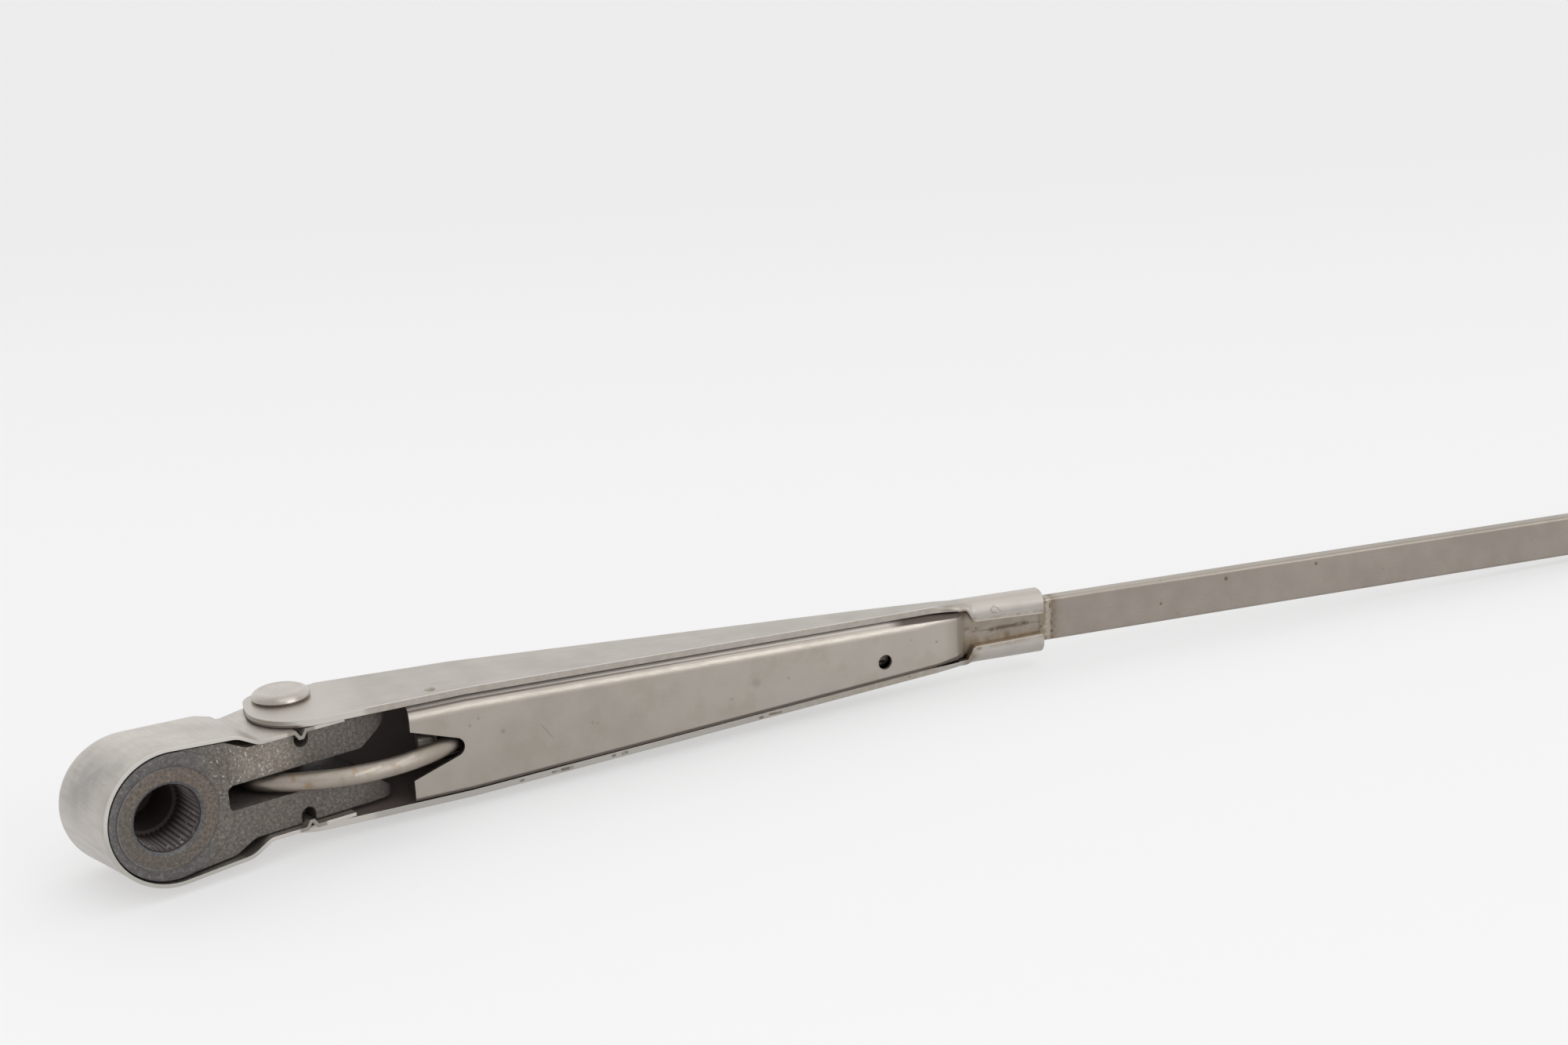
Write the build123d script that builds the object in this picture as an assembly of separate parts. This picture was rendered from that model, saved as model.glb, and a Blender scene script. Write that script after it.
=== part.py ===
from build123d import *
from math import acos, asin, atan2, cos, degrees, hypot, radians, sin, sqrt, tan
import os

# Windscreen wiper arm with a die-cast splined head, a folded stainless channel and a flat bar.
# Row frame: origin at the centre of the spindle bore's mouth, +X along the head towards the arm,
# +Y from the mouth into the head, +Z along the hinge rivet. All sizes are in millimetres.
# Arm frame: x along the bar from the hinge, y = 0 on the bar's front face, z as in the row frame.

# Spindle bore and the cast head
bore_radius = 5.9
bore_length = 9.9
bore_chamfer = 0.6
relief_radius = 5.0
relief_end = 18.0
pad_radius = 9.0
pad_height = 0.4
boss_radius = 11.2
boss_offset = 0.95
side_taper = 4.8
cheek_half_width = 8.25
shoulder_start = 11.2
shoulder_end = 15.2
shoulder_bend = 3.0
back_boss_radius = 5.2
back_end = 12.0
saddle_x = 16.0
saddle_depth = 14.6
fork_front = 0.6
fork_length = 42.5
fork_front_corner = 3.0
fork_back_corner = 4.0
fork_back_run = 13.5
hub_radius = 5.1
slot_half_width = 2.25
slot_start = 11.0
slot_end_radius = 1.0
slot_floor = 12.2
slot_through = 23.5
mouth_start = 36.5
mouth_half_width = 6.9
mouth_length = 6.0
notch_x = 25.3
notch_half_width = 1.35
notch_bottom = 5.6
notch_depth = 4.0

# Sheet cover round the head
cover_wall = 0.65
cover_gap = 0.25
cover_side_gap = 0.15
cover_depth = 22.8
cover_back_tilt = 9.0
cover_sag = 6.0
cover_corner_draft = 0.5
cover_back_bend = 4.0
cover_back_end = 15.0
cover_saddle_x = 16.4
cover_saddle_depth = 15.2
cover_joggle_start = 13.8
cover_joggle_end = 17.4
cover_joggle_bends = (5.0, 2.5)
cover_lug_lead = 0.7
cover_end = 33.3
rim_front = -0.1
rim_slant = 3.0
rim_turn = 1.5
rim_lead = 2.0
stake_shift = 0.3
stake_half_width = 0.85
stake_tip = 0.15
stake_press = 1.1
stake_spread = 0.3
stake_length = 3.2

# Hinge rivet and the cross pin that anchors the link
hinge_x = 28.6
hinge_y = 14.0
rivet_radius = 2.5
rivet_clearance = 0.05
rivet_head_radius = 5.2
rivet_foot_radius = 4.8
rivet_rim_height = 0.45
rivet_head_height = 1.6
rivet_crown_radius = 3.4
rivet_crown_bulge = 0.35
clench_radius = 4.6
clench_height = 1.2
pin_x = 20.8
pin_y = 6.5
pin_radius = 1.5

# Folded arm channel, measured from the hinge along the bar
arm_angle = -19.4
hinge_drop = 5.8
channel_wall = 1.2
ear_gap = 0.1
channel_bend = 2.6
ear_reach = 6.7
ear_back = -1.0
ear_front_radius = 10.0
ear_back_radius = 5.0
flange_edge_at_hinge = -20.3
flange_edge_lead = 7.2
web_rise = 2.6
web_flat_lead = 2.0
web_head_end = 6.0
web_end_slant = 2.0
web_end_radius = 1.5
parallel_end = 31.0
crimp_start = 134.3
crimp_length = 17.5
crimp_lead = 4.8
crimp_flare = 0.27
fold_lead = 1.3
flap_gap_start = 5.2
flap_gap_end = 4.3
flap_slant = 2.4
flap_toe = 0.6
flap_turns = ((0.0, 0.0), (0.5, 0.04), (0.65, 0.32), (0.85, 0.86), (1.0, 1.0))
flap_clearance = 0.05
pin_hole_x = 25.2
pin_hole_y = -13.8
pin_hole_radius = 1.0

# Inner cover over the spring, with its tongue under the crimped flaps
inner_wall = 0.7
inner_side_gap_head = 0.4
inner_side_gap_tip = 0.1
inner_proud_head = 1.0
inner_proud_tip = 1.1
inner_start = 20.3
inner_bend_top = 2.4
inner_bend_low = 1.0
inner_flange = 8.0
inner_flange_end = 2.6
dish_run = 10.0
dish_half_width = 5.0
dish_depth = 1.2
dish_bend = 1.1
dish_dip = 2.2
tongue_lag = 0.4
tongue_side_gap = 0.1
tongue_depth = 1.5
tongue_bend = 1.3
tongue_setback = 0.3
link_notch_half_width = 4.6
link_notch_apex = 30.0
link_notch_radius = 1.8
peep_setback = 6.5
peep_z = -1.8
peep_radius = 1.45

# Flat bar
bar_width = 9.0
bar_thickness = 3.0
bar_edge = 0.6
bar_reach = 198.2
bar_tip_corner = 1.5
bar_neck_lead = 8.3
bar_neck_length = 12.0
lug_half_width = 2.0
lug_height = 2.8
lug_inner_bend = 0.8
lug_outer_bend = 2.5

# Bowed wire link
link_radius = 1.65
link_pin_gap = 0.1
link_bow_radius = 28.0
link_hook_turn = 200.0
link_end_x = 25.5
link_end_y = -13.3
link_end_radius = 2.6
link_end_turn = 140.0
link_end_leg = 3.0

# Tension spring
spring_wire = 0.7
spring_coil_radius = 2.7
spring_pitch = 3.7
spring_turns = 14
spring_facets = 8
spring_seat_gap = 0.02
spring_side_gap = 0.3
spring_far_y = -1.3
spring_coil_start = 10.0
spring_bend_run = 4.0
spring_return = 4.0
spring_bend = 1.2

# Sizes that follow from the ones above
cover_radius = boss_radius + cover_gap + cover_wall
cover_half_width = cheek_half_width + cover_side_gap + cover_wall
back_lean = 1 / cos(radians(cover_back_tilt))
back_fall = tan(radians(cover_back_tilt))
cover_back_inside = cover_depth - cover_wall * back_lean
cast_depth = cover_back_inside - (cover_back_bend - cover_wall) * back_lean
sag_slope = tan(radians(cover_sag))
ear_outer = cover_half_width + ear_gap + channel_wall
web_flat = bar_thickness + channel_wall
tongue_half_width = bar_width / 2 + tongue_side_gap + inner_wall
crimp_half_width = tongue_half_width + flap_clearance + channel_wall
flap_inner = -inner_wall - flap_clearance
flap_outer = flap_inner - channel_wall
taper_end = crimp_start - crimp_lead
taper_half_width = crimp_half_width + crimp_flare
crimp_end = crimp_start + crimp_length
fold_start = crimp_start - fold_lead
flap_start = crimp_start + flap_slant
flange_edge_end = crimp_start - flange_edge_lead
flange_slope = (flap_outer - flange_edge_at_hinge) / flange_edge_end
tongue_start = crimp_start + tongue_lag
dish_start = tongue_start - dish_dip
inner_flat_end = dish_start - dish_run
peep_x = inner_flat_end - peep_setback
bar_neck_start = crimp_start - bar_neck_lead
bar_inner_end = bar_neck_start - bar_neck_length
bar_tip = crimp_end + bar_reach
web_flat_start = bar_inner_end - web_flat_lead
clear = 60.0
skin = 0.05
edge_bend = channel_wall + skin

arm_to_row = Pos(hinge_x, hinge_y, 0) * Rot(0, 0, arm_angle) * Pos(0, hinge_drop, 0)


def flange_edge(x):
    """Front edge of the channel's flanges at a station x of the arm frame."""
    return flange_edge_at_hinge + flange_slope * x


def channel_half_width(x):
    """Outer half width of the channel: parallel at the ears, then an even taper."""
    share = max(0.0, (x - parallel_end) / (taper_end - parallel_end))
    return ear_outer + (taper_half_width - ear_outer) * share


def web_back(x):
    """Outer face of the channel's web, which rises from the head to the flat under the bar."""
    return web_flat - web_rise * max(0.0, 1 - x / web_flat_start)


def inner_share(x):
    """How far a station lies along the inner cover's flat run, from 0 at its start to 1."""
    return (x - inner_start) / (inner_flat_end - inner_start)


def inner_half_width(x):
    """Outer half width of the inner cover, whose side gap closes towards the crimp."""
    gap = inner_side_gap_head + (inner_side_gap_tip - inner_side_gap_head) * inner_share(x)
    return channel_half_width(x) - channel_wall - gap


def inner_front(x):
    """Front of the inner cover, which stands a little proud of the channel's flanges."""
    proud = inner_proud_head + (inner_proud_tip - inner_proud_head) * inner_share(x)
    return flange_edge(x) - proud


def slab(outline, y_low, y_high):
    """Solid of an outline drawn in X and Z, between two depths along Y."""
    return extrude(Plane.XZ.offset(-y_low) * outline, -(y_high - y_low))


def across(outline, half_width):
    """Solid of an outline drawn in X and Y, spread evenly to both sides along Z."""
    return extrude(outline, half_width, both=True)


def upright(radius, half_length, x, y):
    """Cylinder along Z through a point of the XY plane."""
    return Pos(x, y, 0) * Cylinder(radius, 2 * half_length)


def block(x_low, x_high, y_low, y_high, half_width):
    """Box between two stations and two depths, even about Z = 0."""
    middle = Pos((x_low + x_high) / 2, (y_low + y_high) / 2, 0)
    return middle * Box(x_high - x_low, y_high - y_low, 2 * half_width)


def round_corners(face, corners):
    """Face with the corners nearest to the given points rounded, each with its own radius."""
    for point, radius in corners:
        face = fillet([face.vertices().sort_by_distance(point)[0]], radius)
    return face


def inset(path, wall):
    """Path moved sideways by the sheet's thickness, to the left of its direction."""
    moved = []
    for i, (u, v) in enumerate(path):
        normals = []
        for a, b in ((i - 1, i), (i, i + 1)):
            if a >= 0 and b < len(path):
                du, dv = path[b][0] - path[a][0], path[b][1] - path[a][1]
                normals.append((-dv / hypot(du, dv), du / hypot(du, dv)))
        n1, n2 = normals[0], normals[-1]
        scale = wall / (1 + n1[0] * n2[0] + n1[1] * n2[1])
        moved.append((u + scale * (n1[0] + n2[0]), v + scale * (n1[1] + n2[1])))
    return moved


def sheet_section(x, path, bends, wall):
    """Bent sheet seen end on at station x: its outer line, and the same line one wall inside."""
    inner_path = inset(path, wall)
    outer = FilletPolyline(*path, radius=bends)
    inner = FilletPolyline(*inner_path, radius=[bend - wall for bend in bends])
    ends = [Line(path[0], inner_path[0]), Line(path[-1], inner_path[-1])]
    across_arm = Plane(origin=(x, 0, 0), x_dir=(0, 1, 0), z_dir=(1, 0, 0))
    return across_arm * make_face(outer.edges() + inner.edges() + ends)


def wire_along(path, radius):
    """Round wire swept along a smooth path."""
    start = Plane(origin=path @ 0, z_dir=path % 0)
    return sweep(start * Circle(radius), path=path)


def head_outline(radius, joggle, half_width, bends, sag=0.0):
    """Head seen from the bore: a round end, drawn-in sides tangent to it, a joggle, parallel sides."""
    taper = radians(side_taper)
    corner_z = radius * cos(taper) - (joggle[0] - boss_offset - radius * sin(taper)) * tan(taper)
    sides = []
    starts = []
    for side in (1, -1):
        corner = (joggle[0], side * (corner_z - sag * cover_corner_draft))
        reach = (corner[0] - boss_offset, corner[1] + sag)
        turn = atan2(reach[1], reach[0]) + side * acos(radius / hypot(*reach))
        start = (boss_offset + radius * cos(turn), radius * sin(turn) - sag)
        points = (start, corner, (joggle[1], side * half_width))
        sides += FilletPolyline(*points, (clear, side * half_width), radius=bends).edges()
        starts.append(start)
    round_end = ThreePointArc(starts[0], (boss_offset - radius, -sag), starts[1])
    end = Line((clear, half_width), (clear, -half_width))
    return make_face(sides + [round_end, end])


def level(depth):
    """Plane across the bore's axis at a depth along Y."""
    return Plane.XZ.offset(-depth)


def leaning(depth):
    """Plane of a back that falls towards the arm, at its depth on the bore's axis."""
    lean = radians(cover_back_tilt)
    return Plane(origin=(0, depth, 0), x_dir=(cos(lean), -sin(lean), 0), z_dir=(-sin(lean), -cos(lean), 0))


def drawn(front, back):
    """Solid between two outlines, each already set on its own plane."""
    return loft([front, back], ruled=True)


def before_back(depth):
    """All space in front of a back that falls towards the arm, at its depth on the bore's axis."""
    space = block(-2 * clear, 2 * clear, -2 * clear, 0, 2 * clear)
    return Pos(0, depth, 0) * Rot(0, 0, -cover_back_tilt) * space


def make_head_casting():
    """Boss with the spindle bore, and a slotted fork whose cheeks carry the rivet and the pin."""
    joggle = (shoulder_start, shoulder_end)
    outlines = []
    for y in (fork_front, clear / 2):
        outline = head_outline(boss_radius - sag_slope * y, joggle, cheek_half_width, shoulder_bend)
        outlines.append(level(y) * outline)
    along = (cos(radians(arm_angle)), sin(radians(arm_angle)))
    stop = (hinge_x - hub_radius * along[1], hinge_y + hub_radius * along[0])
    heel = (stop[0] + fork_back_run * along[0], stop[1] + fork_back_run * along[1])
    toe = (fork_length, fork_front)
    side = make_face(
        Polyline(
            (-clear, fork_front), toe, heel, stop, (saddle_x, saddle_depth),
            (back_end, cast_depth - back_fall * back_end), (-clear, cast_depth + back_fall * clear),
            close=True,
        )
    )
    side = round_corners(side, ((toe, fork_front_corner), (heel, fork_back_corner)))
    casting = drawn(*outlines) & across(side, clear)
    boss = [
        level(y) * Pos(boss_offset, 0) * Circle(boss_radius - sag_slope * y) for y in (pad_height, clear / 2)
    ]
    casting += drawn(*boss) & before_back(cast_depth)
    casting += slab(Circle(pad_radius), 0, bore_length)
    back_boss = slab(Pos(boss_offset, 0) * Circle(back_boss_radius), bore_length, clear / 2)
    casting += back_boss & before_back(cover_back_inside)
    slot = Pos((slot_start + clear) / 2, 0) * RectangleRounded(
        clear - slot_start, 2 * slot_half_width, slot_end_radius
    )
    casting -= slab(slot, -clear, slot_floor)
    casting -= block(slot_through, clear, -clear, clear, slot_half_width)
    mouth_end = mouth_start + mouth_length
    mouth = make_face(
        Polyline(
            (mouth_start, slot_half_width), (mouth_end, mouth_half_width), (clear, mouth_half_width),
            (clear, -mouth_half_width), (mouth_end, -mouth_half_width),
            (mouth_start, -slot_half_width), close=True,
        )
    )
    casting -= slab(mouth, -clear, clear)
    notch = Pos(notch_x, notch_bottom + notch_half_width) * Circle(notch_half_width)
    notch += Pos(notch_x, notch_bottom + notch_half_width + clear / 2) * Rectangle(
        2 * notch_half_width, clear
    )
    notch_pair = slab(notch, -clear, fork_front + notch_depth)
    casting -= notch_pair + mirror(notch_pair, about=Plane.XY)
    casting -= slab(Circle(bore_radius), -clear, bore_length)
    casting -= slab(Circle(relief_radius), 0, relief_end)
    casting -= upright(rivet_radius + rivet_clearance, clear, hinge_x, hinge_y)
    casting -= upright(pin_radius, clear, pin_x, pin_y)
    mouth_edge = casting.edges().filter_by(GeomType.CIRCLE).sort_by_distance((bore_radius, 0, 0))[0]
    return chamfer(mouth_edge, bore_chamfer)


def make_head_cover():
    """Deep-drawn cap round the boss that sags a little, its sides running on to the rivet as lugs."""
    joggle = (cover_joggle_start, cover_joggle_end)
    front, back = [
        head_outline(cover_radius, joggle, cover_half_width, cover_joggle_bends, sag_slope * y)
        for y in (-rim_lead, cover_depth)
    ]
    cap = round_back(drawn(level(-rim_lead) * front, leaning(cover_depth) * back), cover_back_bend)
    front, back = offset(front, -cover_wall), offset(back, -cover_wall)
    hollow = drawn(level(-rim_lead) * front, leaning(cover_back_inside) * back)
    cap -= round_back(hollow, cover_back_bend - cover_wall)
    lug_start = cover_joggle_end + cover_lug_lead
    lugs = block(lug_start, clear, -rim_lead, clear, cover_half_width)
    lugs -= block(lug_start, clear, -rim_lead, clear, cover_half_width - cover_wall)
    cap = (cap & block(-clear, lug_start, -clear, clear, clear)) + lugs
    lug_end = hinge_y + sqrt(hub_radius**2 - (cover_end - hinge_x) ** 2)
    swing = radians(degrees(atan2(lug_end - hinge_y, cover_end - hinge_x)) / 2 + 45)
    hub_mid = (hinge_x + hub_radius * cos(swing), hinge_y + hub_radius * sin(swing))
    hub_top = (hinge_x, hinge_y + hub_radius)
    side = make_face(
        Polyline(
            hub_top, (cover_saddle_x, cover_saddle_depth), (cover_back_end, clear), (-clear, clear),
            (-clear, -clear), (cover_end, -clear), (cover_end, lug_end),
        ).edges()
        + [ThreePointArc((cover_end, lug_end), hub_mid, hub_top)]
    )
    cover = cap & across(side, clear)
    bump = stake(stake_spread, cover_half_width - cover_wall)
    groove = stake(0, cover_half_width)
    cover += bump + mirror(bump, about=Plane.XY)
    cover -= groove + mirror(groove, about=Plane.XY)
    front = Pos(0, rim_front, 0) * Rot(-rim_slant, 0, -rim_turn) * Pos(0, -clear, 0)
    cover -= front * Box(4 * clear, 2 * clear, 4 * clear)
    return cover - upright(rivet_radius + 2 * rivet_clearance, clear, hinge_x, hinge_y)


def round_back(cap, radius):
    """Cap with the edge round its closed back rounded."""
    back = cap.faces().sort_by(Axis.Y)[-1]
    edges = [edge for edge in back.edges() if edge.center().X < clear - cover_wall - skin]
    return fillet(edges, radius)


def stake(spread, surface):
    """Wedge pressed inward from one side surface, from the rim down to its length."""
    base, tip = stake_half_width + spread, stake_tip + spread
    middle = notch_x - stake_shift
    wedge = make_face(
        Polyline(
            (middle - base, surface), (middle - tip, surface - stake_press),
            (middle + tip, surface - stake_press), (middle + base, surface), close=True,
        )
    )
    return slab(wedge, -rim_lead, stake_length)


def make_hinge_rivet():
    """Rivet with a turned head above, a clenched head below and a plain shank through the hinge."""
    top = ear_outer + rivet_head_height
    rim = (rivet_head_radius, ear_outer + rivet_rim_height)
    crown = (rivet_crown_radius, top)
    crown_mid = (
        (rim[0] + crown[0]) / 2 + rivet_crown_bulge,
        (rim[1] + crown[1]) / 2 + rivet_crown_bulge,
    )
    dome = (clench_radius**2 + clench_height**2) / (2 * clench_height)
    foot = -ear_outer - clench_height
    half_way = asin(clench_radius / dome) / 2
    clench_mid = (dome * sin(half_way), foot + dome * (1 - cos(half_way)))
    profile = Polyline((0, foot), (0, top), crown).edges()
    profile += [ThreePointArc(crown, crown_mid, rim)]
    profile += Polyline(
        rim, (rivet_foot_radius, ear_outer), (rivet_radius, ear_outer),
        (rivet_radius, -ear_outer), (clench_radius, -ear_outer),
    ).edges()
    profile += [ThreePointArc((clench_radius, -ear_outer), clench_mid, (0, foot))]
    return Pos(hinge_x, hinge_y, 0) * revolve(Plane.XZ * make_face(profile), Axis.Z)


def make_arm_channel():
    """Folded channel: ears at the hinge, tapering flanges, and flaps crimped over the bar."""
    stations = (-ear_reach - clear / 40, parallel_end, web_flat_start, taper_end)
    sections = []
    for x in stations + (fold_start,):
        half = crimp_half_width if x == fold_start else channel_half_width(x)
        web, edge = web_back(x), flange_edge(x) - channel_bend
        path = ((edge, -half), (web, -half), (web, half), (edge, half))
        sections.append(sheet_section(x, path, [channel_bend] * 2, channel_wall))
    channel = loft(sections, ruled=True)
    ear_front = (-ear_reach, flange_edge(-ear_reach))
    ear_corner = (-ear_reach, ear_back)
    web_foot = (web_head_end, ear_back)
    web_tip = (web_head_end + web_end_slant, web_back(web_head_end + web_end_slant) + skin)
    side = make_face(
        Polyline(
            ear_front, (flange_edge_end, flap_outer),
            (fold_start, flap_outer), (fold_start, web_flat + skin),
            (web_flat_start, web_flat + skin), web_tip, web_foot, ear_corner, close=True,
        )
    )
    side = round_corners(
        side,
        (
            (ear_front, ear_front_radius), (ear_corner, ear_back_radius),
            (web_foot, web_end_radius), (web_tip, web_end_radius),
        ),
    )
    channel &= across(side, clear)
    channel &= fold_envelope()
    folds = []
    reach = crimp_half_width - edge_bend - skin
    for along, over in flap_turns:
        x = fold_start + (flap_start - fold_start) * along
        bend = edge_bend + (channel_bend - edge_bend) * over
        folds.append(crimp_section(x, reach + (flap_gap_start / 2 - reach) * over, bend))
    folds.append(crimp_section(crimp_end, flap_gap_end / 2, channel_bend))
    crimp = loft(folds, ruled=True)
    toes = crimp.edges().filter_by(Axis.Y).sort_by_distance((crimp_end, flap_outer, 0))[:2]
    channel += fillet(toes, flap_toe)
    channel -= upright(rivet_radius, clear, 0, -hinge_drop)
    channel -= upright(pin_hole_radius, clear, pin_hole_x, pin_hole_y)
    return arm_to_row * channel


def crimp_section(x, lip, bend):
    """Channel seen end on where its flanges turn in over the bar, each up to a lip."""
    half = crimp_half_width
    path = (
        (flap_outer, -lip), (flap_outer, -half), (web_flat, -half),
        (web_flat, half), (flap_outer, half), (flap_outer, lip),
    )
    return sheet_section(x, path, [bend, channel_bend, channel_bend, bend], channel_wall)


def fold_envelope():
    """Space that rounds the flanges' outer corners over, more and more towards the crimp."""
    ends = []
    start_half = channel_half_width(flange_edge_end)
    for x, half, bend in ((flange_edge_end, start_half, skin), (fold_start, crimp_half_width, edge_bend)):
        front, side = flap_outer - skin, half + skin
        outline = FilletPolyline((clear, -side), (front, -side), (front, side), (clear, side), radius=bend)
        across_arm = Plane(origin=(x, 0, 0), x_dir=(0, 1, 0), z_dir=(1, 0, 0))
        ends.append(across_arm * make_face(outline.edges() + [Line(outline @ 0, outline @ 1)]))
    return loft(ends, ruled=True) + block(-clear, flange_edge_end, -clear, clear, clear)


def make_spring_cover():
    """Inner cover: a shallow channel that dips to a flat tongue on the bar, notched for the link."""
    stations = []
    for x in (inner_start, parallel_end, inner_flat_end):
        depth = inner_flange + (inner_flange_end - inner_flange) * inner_share(x)
        stations.append((x, inner_half_width(x), inner_front(x), depth, (inner_bend_top, inner_bend_low)))
    dish_front = inner_front(dish_start)
    stations.append((dish_start, dish_half_width, dish_front, dish_depth, (dish_bend, inner_bend_low)))
    for x in (tongue_start, crimp_end - tongue_setback):
        stations.append((x, tongue_half_width, -inner_wall, tongue_depth, (tongue_bend, tongue_bend)))
    sections = []
    for x, half, front, depth, bends in stations:
        path = ((front + depth, half), (front, half), (front, -half), (front + depth, -half))
        sections.append(sheet_section(x, path, bends, inner_wall))
    cover = loft(sections, ruled=True)
    apex = Pos(link_notch_apex - link_notch_radius, 0) * Circle(link_notch_radius)
    mouth = Line((inner_start - skin, link_notch_half_width), (inner_start - skin, -link_notch_half_width))
    cover -= slab(make_hull(apex.edges() + [mouth]), -clear, 0)
    cover -= slab(Pos(peep_x, peep_z) * Circle(peep_radius), -clear, 0)
    return arm_to_row * cover


def make_arm_bar():
    """Flat strip with eased edges, its inner end drawn in to a neck and turned up as a lug."""
    strip = block(bar_neck_start, bar_tip, 0, bar_thickness, bar_width / 2)
    strip = fillet(strip.edges().filter_by(Axis.Y).sort_by(Axis.X)[-2:], bar_tip_corner)
    long_edges = [edge for edge in strip.edges() if edge.center().X > bar_neck_start + skin]
    strip = fillet([edge for edge in long_edges if edge.geom_type == GeomType.LINE
                    and abs(edge.tangent_at(0).X) > bar_edge], bar_edge)
    lug_end = bar_inner_end + bar_thickness
    neck = make_face(
        Polyline(
            (bar_inner_end, -lug_height), (lug_end, -lug_height), (lug_end, 0),
            (bar_neck_start + skin, 0), (bar_neck_start + skin, bar_thickness),
            (bar_inner_end, bar_thickness), close=True,
        )
    )
    bends = (((lug_end, 0), lug_inner_bend), ((bar_inner_end, bar_thickness), lug_outer_bend))
    return arm_to_row * (strip + across(round_corners(neck, bends), lug_half_width))


def to_row(x, y):
    """Point of the arm frame seen in the row frame."""
    placed = (arm_to_row * Pos(x, y, 0)).position
    return placed.X, placed.Y


def make_spring_link():
    """Round wire hooked round the pin, bowed past the fork's front and bent back for the spring."""
    hook_radius = pin_radius + link_pin_gap + link_radius
    end = to_row(link_end_x, link_end_y)
    span = hypot(end[0] - pin_x, end[1] - pin_y)
    along = ((end[0] - pin_x) / span, (end[1] - pin_y) / span)
    to_pin, to_end = link_bow_radius - hook_radius, link_bow_radius - link_end_radius
    foot = (to_pin**2 - to_end**2 + span**2) / (2 * span)
    rise = sqrt(to_pin**2 - foot**2)
    centre = (pin_x + foot * along[0] - rise * along[1], pin_y + foot * along[1] + rise * along[0])
    pin_side = degrees(atan2(pin_y - centre[1], pin_x - centre[0]))
    end_side = degrees(atan2(end[1] - centre[1], end[0] - centre[0]))
    hook = CenterArc((pin_x, pin_y), hook_radius, pin_side - link_hook_turn, link_hook_turn)
    bow = CenterArc(centre, link_bow_radius, pin_side, end_side - pin_side)
    bend = CenterArc(end, link_end_radius, end_side, link_end_turn)
    leg = Line(bend @ 1, bend @ 1 + (bend % 1) * link_end_leg)
    return wire_along(Wire([hook, bow, bend, leg]), link_radius)


def make_tension_spring():
    """Close coil with a hook at each end: one in the link's bend, one behind the bar's lug."""
    seat = link_end_radius - link_radius - spring_wire - spring_seat_gap
    far_x = bar_inner_end + bar_thickness + spring_wire + spring_seat_gap
    length = hypot(far_x - link_end_x, spring_far_y - link_end_y)
    pull = ((far_x - link_end_x) / length, (spring_far_y - link_end_y) / length)
    near = (link_end_x + seat * pull[0], link_end_y + seat * pull[1], 0)
    length -= seat
    lay = Plane(origin=near, x_dir=(*pull, 0), z_dir=(pull[1], -pull[0], 0))
    near_side = link_radius + spring_wire + spring_side_gap
    far_side = lug_half_width + spring_wire + spring_side_gap
    coil_end = spring_coil_start + spring_pitch * spring_turns
    near_hook = FilletPolyline(
        (spring_coil_start, 0), (spring_coil_start - spring_bend_run, near_side), (0, near_side),
        (0, -near_side), (spring_return, -near_side), radius=spring_bend,
    )
    far_hook = FilletPolyline(
        (coil_end, 0), (coil_end + spring_bend_run, far_side), (length, far_side),
        (length, -far_side), (length - spring_return, -far_side), radius=spring_bend,
    )
    axis_start = lay.from_local_coords((spring_coil_start, 0, -spring_coil_radius))
    coil_plane = Plane(origin=axis_start, x_dir=lay.z_dir, z_dir=lay.x_dir)
    coil = coil_plane * Helix(spring_pitch, spring_pitch * spring_turns, spring_coil_radius)
    start = Plane(origin=coil @ 0, z_dir=coil % 0)
    spring = sweep(start * RegularPolygon(spring_wire, spring_facets), path=coil, is_frenet=True)
    spring += wire_along(lay * near_hook, spring_wire)
    spring += wire_along(lay * far_hook, spring_wire)
    return arm_to_row * spring


nodes = {
    "head_casting": make_head_casting(),
    "head_cover": make_head_cover(),
    "anchor_pin": upright(pin_radius, cheek_half_width, pin_x, pin_y),
    "hinge_rivet": make_hinge_rivet(),
    "arm_channel": make_arm_channel(),
    "spring_cover": make_spring_cover(),
    "arm_bar": make_arm_bar(),
    "spring_link": make_spring_link(),
    "tension_spring": make_tension_spring(),
}

os.makedirs("parts", exist_ok=True)
for name, solid in nodes.items():
    export_step(solid, f"parts/{name}.step")
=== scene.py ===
import bpy
import math
import numpy as np
from mathutils import Matrix


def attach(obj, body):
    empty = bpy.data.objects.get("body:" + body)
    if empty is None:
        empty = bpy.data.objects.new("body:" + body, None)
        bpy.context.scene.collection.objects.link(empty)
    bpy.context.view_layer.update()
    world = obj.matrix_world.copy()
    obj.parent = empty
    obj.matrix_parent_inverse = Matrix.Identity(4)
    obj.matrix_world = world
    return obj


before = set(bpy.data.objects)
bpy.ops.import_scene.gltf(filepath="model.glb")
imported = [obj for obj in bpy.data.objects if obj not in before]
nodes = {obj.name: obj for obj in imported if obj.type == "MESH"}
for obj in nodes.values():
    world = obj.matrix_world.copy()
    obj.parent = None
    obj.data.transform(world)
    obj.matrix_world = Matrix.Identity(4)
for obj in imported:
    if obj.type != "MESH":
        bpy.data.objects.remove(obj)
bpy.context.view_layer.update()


def rgb(r, g, b):
    return (r, g, b, 1.0)


MM_PER_M = 1000.0

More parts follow.
